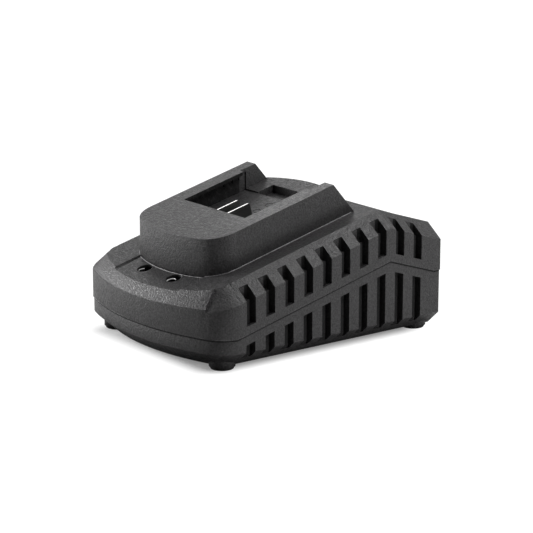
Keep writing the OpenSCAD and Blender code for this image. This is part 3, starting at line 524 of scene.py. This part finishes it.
def soften(solid, width, segments=3):
    """Join a solid's faces and round its sharp edges off, width in millimetres."""
    weld = solid.modifiers.new("join", "WELD")
    weld.merge_threshold = 2e-6
    bevel = solid.modifiers.new("soft edges", "BEVEL")
    bevel.width = width / MM
    bevel.segments = segments
    bevel.limit_method = "ANGLE"
    bevel.angle_limit = math.radians(35.0)
    bevel.harden_normals = True
    bevel.use_clamp_overlap = True
    bevel.miter_outer = "MITER_ARC"


def mesh_piece(name, mesh, material, body="root", smooth=True):
    """Put a finished mesh on the part as a piece of its own."""
    data = bpy.data.meshes.new(name)
    mesh.to_mesh(data)
    mesh.free()
    piece = bpy.data.objects.new(name, data)
    bpy.context.scene.collection.objects.link(piece)
    data.materials.append(material)
    if smooth:
        for polygon in data.polygons:
            polygon.use_smooth = True
    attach(piece, body)


def bead(mesh, path, radius):
    """Add a round bead along an open path of points in millimetres."""
    sides = 8
    points = [Vector(point) for point in path]
    rings = []
    for i, point in enumerate(points):
        run = (points[min(i + 1, len(points) - 1)] - points[max(i - 1, 0)]).normalized()
        aside = run.cross(Vector((0.0, 0.0, 1.0))).normalized()
        above = aside.cross(run).normalized()
        ring = []
        for k in range(sides):
            turn = 2.0 * math.pi * k / sides
            out = aside * (radius * math.cos(turn)) + above * (radius * math.sin(turn))
            ring.append(mesh.verts.new((point + out) / MM))
        rings.append(ring)
    for this, following in zip(rings, rings[1:]):
        for k in range(sides):
            n = (k + 1) % sides
            mesh.faces.new((this[k], this[n], following[n], following[k]))
    mesh.faces.new(list(reversed(rings[0])))
    mesh.faces.new(rings[-1])


# ---------------------------------------------------------------- what a user would change


class ChargerLook(bpy.types.PropertyGroup):
    case_colour: bpy.props.FloatVectorProperty(
        name="Case colour",
        description="Colour of the case's plastic",
        subtype="COLOR",
        size=3,
        min=0.0,
        max=1.0,
        default=(0.031, 0.03, 0.031),
    )
    dock_colour: bpy.props.FloatVectorProperty(
        name="Dock colour",
        description="Colour of the dock's plastic",
        subtype="COLOR",
        size=3,
        min=0.0,
        max=1.0,
        default=(0.032, 0.031, 0.032),
    )
    grain: bpy.props.FloatProperty(
        name="Grain",
        description="Size of the plastic's grain",
        subtype="DISTANCE",
        unit="LENGTH",
        min=0.0001,
        max=0.002,
        default=0.00085,
    )
    edge: bpy.props.FloatProperty(
        name="Edge rounding",
        description="Width of the rounding along the mouldings' edges",
        subtype="DISTANCE",
        unit="LENGTH",
        min=0.0,
        max=0.001,
        default=0.0003,
    )
    rim_gap: bpy.props.FloatProperty(
        name="Rim width",
        description="Thickness of the thin rim along the dock's foot and round the sight holes",
        subtype="DISTANCE",
        unit="LENGTH",
        min=0.0001,
        max=0.001,
        default=0.00025,
    )


class StageLook(bpy.types.PropertyGroup):
    top_power: bpy.props.FloatProperty(
        name="Top light",
        description="Power of the lights over the part",
        subtype="POWER",
        unit="POWER",
        min=0.0,
        max=200.0,
        default=6.4,
    )
    left_power: bpy.props.FloatProperty(
        name="Left light",
        description="Power of the lights at the left",
        subtype="POWER",
        unit="POWER",
        min=0.0,
        max=200.0,
        default=12.6,
    )
    right_power: bpy.props.FloatProperty(
        name="Right light",
        description="Power of the lights behind at the right",
        subtype="POWER",
        unit="POWER",
        min=0.0,
        max=200.0,
        default=2.8,
    )
    sky: bpy.props.FloatProperty(
        name="Sky",
        description="Strength of the even light from all round",
        min=0.0,
        max=3.0,
        default=0.0,
    )


# ---------------------------------------------------------------- operators


def highlight_plastic(name, colour, look):
    """The plastic painted pale along a thin raised rim: a painted highlight."""
    return moulded_plastic(name, scaled(colour, 9.0), look.grain * MM, 1.0, 0.2, 0.4)


class CHARGER_OT_case(bpy.types.Operator):
    """Finish the two shells of the case"""

    bl_idname = "charger.case"
    bl_label = "Case"

    def execute(self, context):
        look = context.scene.charger_look
        plastic = moulded_plastic(
            "case plastic",
            look.case_colour,
            look.grain * MM,
            contrast=1.3,
            depth=0.65,
            roughness=0.55,
            band=front_band,
            painted_shade_and_gloss=case_painted_light,
        )
        for name in ("bottom_shell", "top_shell"):
            soften(finish_node(name, plastic), look.edge * MM)
        self.sight_rims(look)
        self.panel_ramps(plastic)
        return {"FINISHED"}

    def sight_rims(self, look):
        """Thin rims along the rear right of the sight holes, painted pale as a highlight."""
        lines = Lines
        radius = look.rim_gap * MM * 0.8
        panel_z = lines.roof_z - lines.panel_drop
        rims = bmesh.new()
        for side in (-1, 1):
            hole = (side * lines.sight_x, lines.sight_y)
            round_hole = arc(hole, lines.sight_r + radius, 15.0, 105.0, 16)
            bead(rims, [(x, y, lines.up(panel_z, y)) for x, y in round_hole], radius)
        # Painted highlight: the rim's plastic is painted pale.
        rim_highlight = highlight_plastic("sight rim highlight", look.case_colour, look)
        mesh_piece("sight_rims", rims, rim_highlight)

    def panel_ramps(self, plastic):
        """Soft ramps down into the sunk panel at its two ends."""
        lines = Lines
        front_y, rear_y, ramp_w = -68.6, -52.0, 1.5
        edge, foot = lines.panel_half_w, lines.panel_half_w - ramp_w
        ramps = bmesh.new()
        for side in (-1, 1):
            rows = []
            for y in (front_y, rear_y):
                top = lines.up(lines.roof_z - 0.05, y)
                low = lines.up(lines.roof_z - lines.panel_drop - 0.1, y)
                corners = ((edge, top), (foot, low), (edge, low))
                rows.append([ramps.verts.new(mm(side * x, y, z)) for x, z in corners])
            for i, j in ((0, 1), (1, 2), (2, 0)):
                ramps.faces.new((rows[0][i], rows[0][j], rows[1][j], rows[1][i]))
            ramps.faces.new(rows[0])
            ramps.faces.new(list(reversed(rows[1])))
        bmesh.ops.recalc_face_normals(ramps, faces=ramps.faces)
        mesh_piece("panel_ramps", ramps, plastic, smooth=False)


class CHARGER_OT_dock(bpy.types.Operator):
    """Finish the dock that the battery slides into, with the thin rim along its foot painted pale
    as a highlight
    """

    bl_idname = "charger.dock"
    bl_label = "Dock"

    def execute(self, context):
        look = context.scene.charger_look
        plastic = moulded_plastic(
            "dock plastic",
            look.dock_colour,
            look.grain * MM,
            contrast=1.3,
            depth=0.7,
            roughness=0.55,
            painted_shade_and_gloss=dock_painted_light,
        )
        soften(finish_node("battery_dock", plastic), look.edge * MM * 2.4)
        self.foot_rim(look)
        return {"FINISHED"}

    def foot_rim(self, look):
        """Thin rim along the dock's foot, which steps down onto the sunk panel, painted pale as a
        highlight.
        """
        lines = Lines
        rear_y, step_x, step_w = 35.0, lines.panel_half_w + 0.25, 0.8
        radius = look.rim_gap * MM
        path = []
        for x, y in dock_foot(radius * 0.6, rear_y):
            sunk = max(0.0, min(1.0, (step_x - abs(x)) / step_w))
            foot_z = lines.up(lines.roof_z - sunk * lines.panel_drop, y)
            path.append((x, y, foot_z + radius * 0.3))
        rim = bmesh.new()
        bead(rim, path, radius)
        # Painted highlight: the rim's plastic is painted pale.
        rim_highlight = highlight_plastic("foot rim highlight", look.dock_colour, look)
        mesh_piece("dock_foot_rim", rim, rim_highlight)


class CHARGER_OT_feet(bpy.types.Operator):
    """Finish the rubber feet"""

    bl_idname = "charger.feet"
    bl_label = "Feet"

    def execute(self, context):
        rubber = moulded_plastic("foot rubber", (0.022, 0.021, 0.022), 0.5, 0.9, 0.2, 0.7)
        soften(finish_node("rubber_feet", rubber), 0.4)
        return {"FINISHED"}


class CHARGER_OT_contacts(bpy.types.Operator):
    """Finish the blades, their holder and the leads"""

    bl_idname = "charger.contacts"
    bl_label = "Contacts"

    def execute(self, context):
        blade = contact_metal("blade metal", (0.75, 0.74, 0.73))
        for name in ("positive_blade", "negative_blade"):
            soften(finish_node(name, blade), 0.12, segments=2)
        red, black = (0.42, 0.018, 0.014), (0.012, 0.012, 0.012)
        finish_node("terminal_block", plain("holder plastic", (0.02, 0.02, 0.021), 0.5))
        finish_node("positive_lead", plain("red insulation", red, 0.4, grain=3.0))
        finish_node("negative_lead", plain("black insulation", black, 0.4, grain=3.0))
        return {"FINISHED"}


class CHARGER_OT_fasteners(bpy.types.Operator):
    """Finish every screw"""

    bl_idname = "charger.fasteners"
    bl_label = "Fasteners"

    def execute(self, context):
        zinc = plain("zinc plate", (0.5, 0.51, 0.54), 0.32, metallic=1.0, grain=1.2, contrast=0.22)
        for name in (
            "case_screws",
            "dock_screws",
            "terminal_screws",
            "led_board_screws",
            "board_screws",
            "heat_sink_screws",
        ):
            finish_node(name, zinc)
        return {"FINISHED"}


class CHARGER_OT_lamps(bpy.types.Operator):
    """Finish the two lamps, their board and its flat cable"""

    bl_idname = "charger.lamps"
    bl_label = "Lamps"

    def execute(self, context):
        for name, tint in (("red_led", (0.75, 0.6, 0.6)), ("green_led", (0.62, 0.72, 0.64))):
            label = name.replace("_", " ")
            lens = plain(label, tint, 0.12, coat=1.0, contrast=0.05, transmission=0.7)
            finish_node(name, lens)
        self.glints()
        strands = (0.12, 0.12, 0.13), (0.32, 0.33, 0.35)
        finish_node("led_board", solder_mask("lamp board"))
        finish_node("led_ribbon", striped("flat cable", *strands, 0, 1.27, 0.6, 0.5))
        return {"FINISHED"}

    def glints(self):
        """The lamps' faint glints deep in the sight holes, as glowing arcs: painted glints."""
        lines = Lines
        shift_x, shift_y, drop, ring_r, bead_r = -0.5, -1.2, 0.9, 2.3, 0.25
        level = lines.roof_z - lines.panel_drop - drop
        glints = bmesh.new()
        for side, start, end in ((-1, 120.0, 200.0), (1, 60.0, 215.0)):
            lamp = (side * lines.sight_x + shift_x, lines.sight_y + shift_y)
            ring = arc(lamp, ring_r, start, end, 14)
            bead(glints, [(x, y, lines.up(level, y)) for x, y in ring], bead_r)
        # Painted glint: the arcs glow faintly, though they are no lamp.
        shine = glow("lamp glint", (0.8, 0.8, 0.8), 0.3, 0.3)
        mesh_piece("lamp_glints", glints, shine)


class CHARGER_OT_board(bpy.types.Operator):
    """Finish the main board and everything that stands on it"""

    bl_idname = "charger.board"
    bl_label = "Main board"

    def execute(self, context):
        finish_node("main_board", solder_mask("main board"))
        self.chips_and_cores()
        self.windings()
        self.capacitors()
        self.metal_parts()
        glass = plain("fuse glass", (0.85, 0.9, 0.9), 0.08, transmission=0.9, contrast=0.03)
        finish_node("fuse_tube", glass)
        return {"FINISHED"}

    def chips_and_cores(self):
        epoxy = plain("epoxy case", (0.014, 0.014, 0.015), 0.45, grain=0.3)
        for name in (
            "bridge_rectifier",
            "switching_transistor",
            "output_rectifier",
            "optocoupler",
            "control_chip",
        ):
            finish_node(name, epoxy)
        ferrite = plain("ferrite", (0.035, 0.035, 0.037), 0.6, grain=0.25, contrast=0.4)
        for name in ("transformer_core", "choke_core"):
            finish_node(name, ferrite)

    def windings(self):
        copper = (0.16, 0.045, 0.012), (0.62, 0.24, 0.08)
        tape = (0.4, 0.27, 0.03), (0.62, 0.46, 0.06)
        finish_node("choke_winding", striped("copper wire", *copper, 0, 0.7, 0.8, 0.3, 0.6))
        finish_node("transformer_winding", striped("winding tape", *tape, 2, 3.1, 0.9, 0.35, 0.3))

    def capacitors(self):
        bulk = (0.012, 0.016, 0.035), (0.5, 0.52, 0.55)
        small = (0.014, 0.014, 0.016), (0.5, 0.45, 0.3)
        finish_node("bulk_capacitor", sleeve("bulk sleeve", *bulk, 0.78))
        finish_node("output_capacitors", sleeve("output sleeve", *small, 0.7))
        finish_node("filter_capacitor", plain("yellow case", (0.55, 0.36, 0.04), 0.4, grain=2.0))

    def metal_parts(self):
        sinks = brushed("sink aluminium", (0.72, 0.73, 0.74), 0.38)
        for name in ("primary_heat_sink", "secondary_heat_sink"):
            finish_node(name, sinks)
        clips = brushed("clip metal", (0.66, 0.65, 0.62), 0.35, (1.0, 0.1, 1.0))
        finish_node("fuse_clips", clips)


class CHARGER_OT_inlet(bpy.types.Operator):
    """Finish the mains inlet and its pins"""

    bl_idname = "charger.inlet"
    bl_label = "Mains inlet"

    def execute(self, context):
        soften(finish_node("mains_inlet", plain("inlet plastic", (0.016, 0.016, 0.017), 0.42)), 0.2)
        pins = brushed("pin metal", (0.68, 0.66, 0.62), 0.3, (1.0, 0.08, 1.0))
        finish_node("inlet_pins", pins)
        return {"FINISHED"}


class CHARGER_OT_stage(bpy.types.Operator):
    """Set the floor, the lights and the camera"""

    bl_idname = "charger.stage"
    bl_label = "Stage"

    # Name, property group's power, share of that power, place and width of the disk in metres
    LAMPS = (
        ("top rear", "top_power", 1.0, (0.0, 0.78, 1.04), 0.6),
        ("top left", "top_power", 0.2, (-0.519, 0.454, 1.102), 0.6),
        ("top right", "top_power", 0.4, (0.469, 0.134, 1.205), 0.6),
        ("near right", "top_power", 0.055, (0.187, 0.089, 0.354), 0.12),
        ("left", "left_power", 1.0, (-1.056, -0.621, 0.435), 0.6),
        ("left front", "left_power", 0.19, (-0.872, -0.611, 0.746), 0.5),
        ("left rear", "left_power", 0.2, (-0.972, 0.495, 0.708), 0.6),
        ("right", "right_power", 1.0, (1.02, 0.765, 0.255), 0.6),
        ("right front", "right_power", 0.57, (1.172, 0.45, 0.336), 0.5),
    )
    # The camera's place and lens in millimetres, its turn and drop in degrees
    EYE, LENS, EYE_TURN, EYE_DROP = (917.5, -692.6, 330.7), 152.75, 52.63, 14.48

    def execute(self, context):
        look = context.scene.charger_stage
        scene = context.scene
        self.floor(scene)
        self.surroundings(scene, look)
        for name, power, share, where, size in self.LAMPS:
            self.lamp(scene, name, where, size, getattr(look, power) * share)
        self.camera(scene)
        scene.view_settings.view_transform = "Standard"
        return {"FINISHED"}

    def floor(self, scene):
        plane = bmesh.new()
        bmesh.ops.create_grid(plane, x_segments=1, y_segments=1, size=6.0)
        data = bpy.data.meshes.new("floor")
        plane.to_mesh(data)
        plane.free()
        ground = bpy.data.objects.new("floor", data)
        scene.collection.objects.link(ground)
        data.materials.append(self.floor_finish())

    def floor_finish(self):
        """White floor, with a painted shadow only under the overhang of the case.

        Close to the case its colour holds painted shade, so it reflects little onto it, and least
        in a sector ahead of the front right corner.
        """
        corner_r, outside = 18.0, 1e5
        sector_x, sector_y, sector_run = 38.0, -64.0, (0.669, -0.743)
        black, white = (0.02, 0.02, 0.02), (0.93, 0.93, 0.93)
        material, tree, shader, out = fresh_material("floor")
        x, y, _ = axes_of(tree, place(tree))
        out_x = (x.size() - (Lines.body_w / 2 - corner_r)).clamp(0.0, outside)
        out_y = (y.size() - (Lines.body_l / 2 - corner_r)).clamp(0.0, outside)
        away = (out_x * out_x + out_y * out_y).root() - corner_r
        seen = seen_white(tree)
        ahead, aside = x - sector_x, y - sector_y
        aim = ahead * sector_run[0] + aside * sector_run[1]
        aim = aim / (ahead * ahead + aside * aside + 1.0).root()
        # Painted shade in the colour that lights the part: dark near the case and in the sector.
        lit = away.smooth(-4.0, 14.0) * (1.0 - aim.smooth(0.86, 0.99) * 0.75)
        base = mixed(tree, (lit + seen).clamp(), black, white)
        fill(tree, shader, {"Base Color": base, "Roughness": 0.9, "Specular IOR Level": 0.1})
        bright = add_node(tree, "ShaderNodeEmission", values={"Color": WHITE, "Strength": 1.15})
        # Painted shadow: the camera sees less of the white glow under the overhang.
        share = seen * (away.smooth(-15.0, 0.0) * 0.76 + 0.2)
        shaded = Sock(tree, shader.outputs[0])
        both = add_node(tree, "ShaderNodeMixShader", values={0: share, 1: shaded, 2: bright})
        fill(tree, out, {"Surface": both})
        return material

    def surroundings(self, scene, look):
        """White behind everything for the camera, and an even light on the part."""
        world = bpy.data.worlds.new("studio")
        scene.world = world
        world.use_nodes = True
        tree = world.node_tree
        sky = next(n for n in tree.nodes if n.type == "BACKGROUND")
        fill(tree, sky, {"Color": WHITE, "Strength": look.sky})
        end = next(n for n in tree.nodes if n.type == "OUTPUT_WORLD")
        seen, dim = seen_white(tree), Sock(tree, sky.outputs[0])
        white = add_node(tree, "ShaderNodeBackground", values={"Color": WHITE, "Strength": 1.0})
        both = add_node(tree, "ShaderNodeMixShader", values={0: seen, 1: dim, 2: white})
        fill(tree, end, {"Surface": both})

    def lamp(self, scene, name, where, size, power):
        """A round lamp that points at the part."""
        light = bpy.data.lights.new(name, "AREA")
        light.shape, light.size, light.energy = "DISK", size, power
        lamp = bpy.data.objects.new(name, light)
        lamp.location = where
        aim = Vector((0.0, 0.0, 0.03)) - Vector(where)
        lamp.rotation_euler = aim.to_track_quat("-Z", "Y").to_euler()
        scene.collection.objects.link(lamp)

    def camera(self, scene):
        camera = bpy.data.cameras.new("camera")
        camera.lens, camera.sensor_width = self.LENS, 36.0
        camera.clip_start, camera.clip_end = 0.05, 20.0
        eye = bpy.data.objects.new("camera", camera)
        eye.location = mm(*self.EYE)
        eye.rotation_euler = (math.radians(90.0 - self.EYE_DROP), 0.0, math.radians(self.EYE_TURN))
        scene.collection.objects.link(eye)
        scene.camera = eye


class CHARGER_PT_panel(bpy.types.Panel):
    bl_idname = "CHARGER_PT_panel"
    bl_label = "Battery charger"
    bl_space_type = "VIEW_3D"
    bl_region_type = "UI"
    bl_category = "Charger"

    def draw(self, context):
        layout = self.layout
        for name in ("case_colour", "dock_colour", "grain", "edge", "rim_gap"):
            layout.prop(context.scene.charger_look, name)
        for name in ("top_power", "left_power", "right_power", "sky"):
            layout.prop(context.scene.charger_stage, name)
        for operator in OPERATORS:
            layout.operator(operator.bl_idname)


OPERATORS = (
    CHARGER_OT_case,
    CHARGER_OT_dock,
    CHARGER_OT_feet,
    CHARGER_OT_contacts,
    CHARGER_OT_fasteners,
    CHARGER_OT_lamps,
    CHARGER_OT_board,
    CHARGER_OT_inlet,
    CHARGER_OT_stage,
)
CLASSES = (ChargerLook, StageLook, *OPERATORS, CHARGER_PT_panel)


def register():
    for item in CLASSES:
        bpy.utils.register_class(item)
    bpy.types.Scene.charger_look = bpy.props.PointerProperty(type=ChargerLook)
    bpy.types.Scene.charger_stage = bpy.props.PointerProperty(type=StageLook)


def unregister():
    del bpy.types.Scene.charger_stage
    del bpy.types.Scene.charger_look
    for item in reversed(CLASSES):
        bpy.utils.unregister_class(item)


def main():
    register()
    for operator in OPERATORS:
        group, name = operator.bl_idname.split(".")
        getattr(getattr(bpy.ops, group), name)()


if __name__ == "__main__":
    main()
